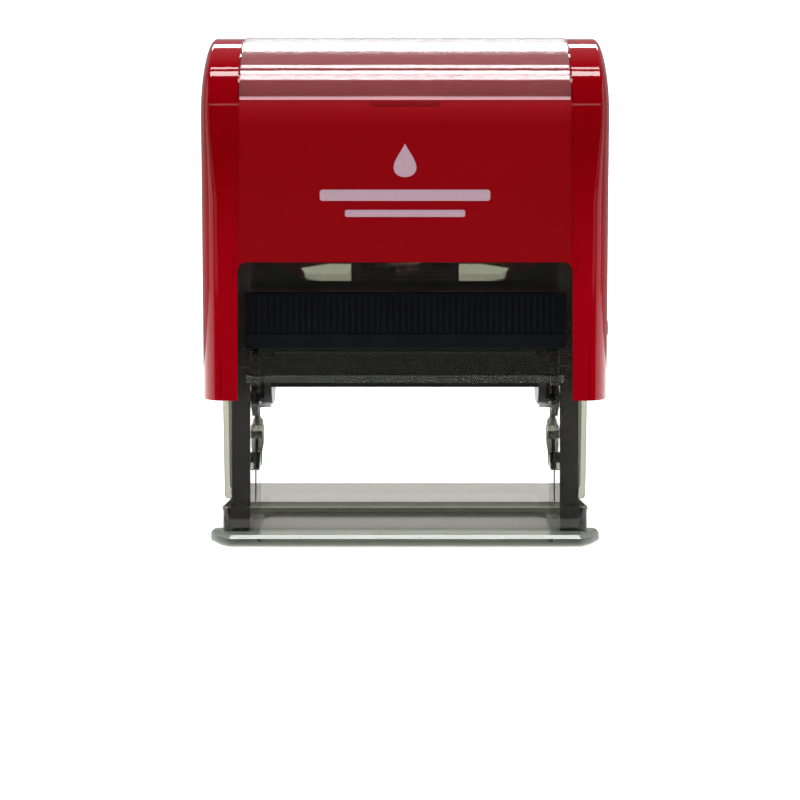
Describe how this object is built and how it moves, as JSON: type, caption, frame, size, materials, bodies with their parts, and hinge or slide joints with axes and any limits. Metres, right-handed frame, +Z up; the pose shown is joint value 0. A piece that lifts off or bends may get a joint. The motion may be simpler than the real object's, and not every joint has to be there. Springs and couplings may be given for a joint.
{
  "type": "self-inking hand stamp",
  "caption": "Self-inking stamp: a shell slides down over a clear frame while the die beneath the ink cartridge turns over and prints.",
  "frame": {"origin": "centre of the foot's underside, on the table", "axes": "+Z up, +X to the right along the die's length, -Y to the front"},
  "size_m": [0.0594, 0.038, 0.0733],
  "materials": {
    "shell_red": "glossy moulded ABS, deep red",
    "clear_cap": "clear moulded polystyrene",
    "yoke_black": "black moulded acetal, satin",
    "button_grey": "grey moulded plastic",
    "spring_steel": "drawn spring wire, bright",
    "smoke_clear": "smoke-tinted clear polystyrene, polished",
    "cup_black": "black moulded plastic",
    "cartridge_black": "black moulded plastic, fine ribbed grip",
    "ink_foam": "open-cell foam soaked in red ink",
    "ink_felt": "woven pad cover, wet with red ink",
    "carrier_black": "black moulded plastic, satin",
    "plate_clear": "stiff sheet with a smoke tint, frosted",
    "cushion_foam": "closed-cell cushion foam",
    "die_rubber": "laser-cut rubber, stained with red ink",
    "pin_steel": "turned steel pin"
  },
  "bodies": {
    "frame": {"inner_frame": "smoke_clear", "base_ring": "smoke_clear", "spring_cup": "cup_black", "ink_cartridge": "cartridge_black", "ink_reservoir": "ink_foam", "ink_pad": "ink_felt", "main_spring": "spring_steel"},
    "shell": {"outer_shell": "shell_red", "drive_yoke": "yoke_black"},
    "cap": {"index_cap": "clear_cap"},
    "button": {"lock_button": "button_grey"},
    "die": {"die_carrier": "carrier_black", "die_plate": "plate_clear", "die_cushion": "cushion_foam", "rubber_die": "die_rubber", "axle_pin_left": "pin_steel", "axle_pin_right": "pin_steel", "cam_pin_left": "pin_steel", "cam_pin_right": "pin_steel"}
  },
  "joints": [
    {"name": "shell_press", "type": "slide", "parent": "frame", "child": "shell", "axis": [0, 0, -1], "range_m": [0, 0.018], "stiffness_N_per_m": 250, "springref_m": -0.02, "deforming": ["main_spring"]},
    {"name": "die_flip", "type": "hinge", "parent": "shell", "child": "die", "pos_m": [0, 0, 0.02325], "axis": [1, 0, 0], "range_deg": [0, 180]},
    {"name": "cap_lift", "type": "slide", "parent": "shell", "child": "cap", "axis": [0, 0, 1], "range_m": [0, 0.015]},
    {"name": "lock_press", "type": "slide", "parent": "shell", "child": "button", "axis": [-1, 0, 0], "range_m": [0, 0.0008], "stiffness_N_per_m": 150, "springref_m": -0.002}
  ],
  "couplings": [
    {"joint": "die_flip", "follows": "shell_press", "rad_per_m": 174.5}
  ]
}
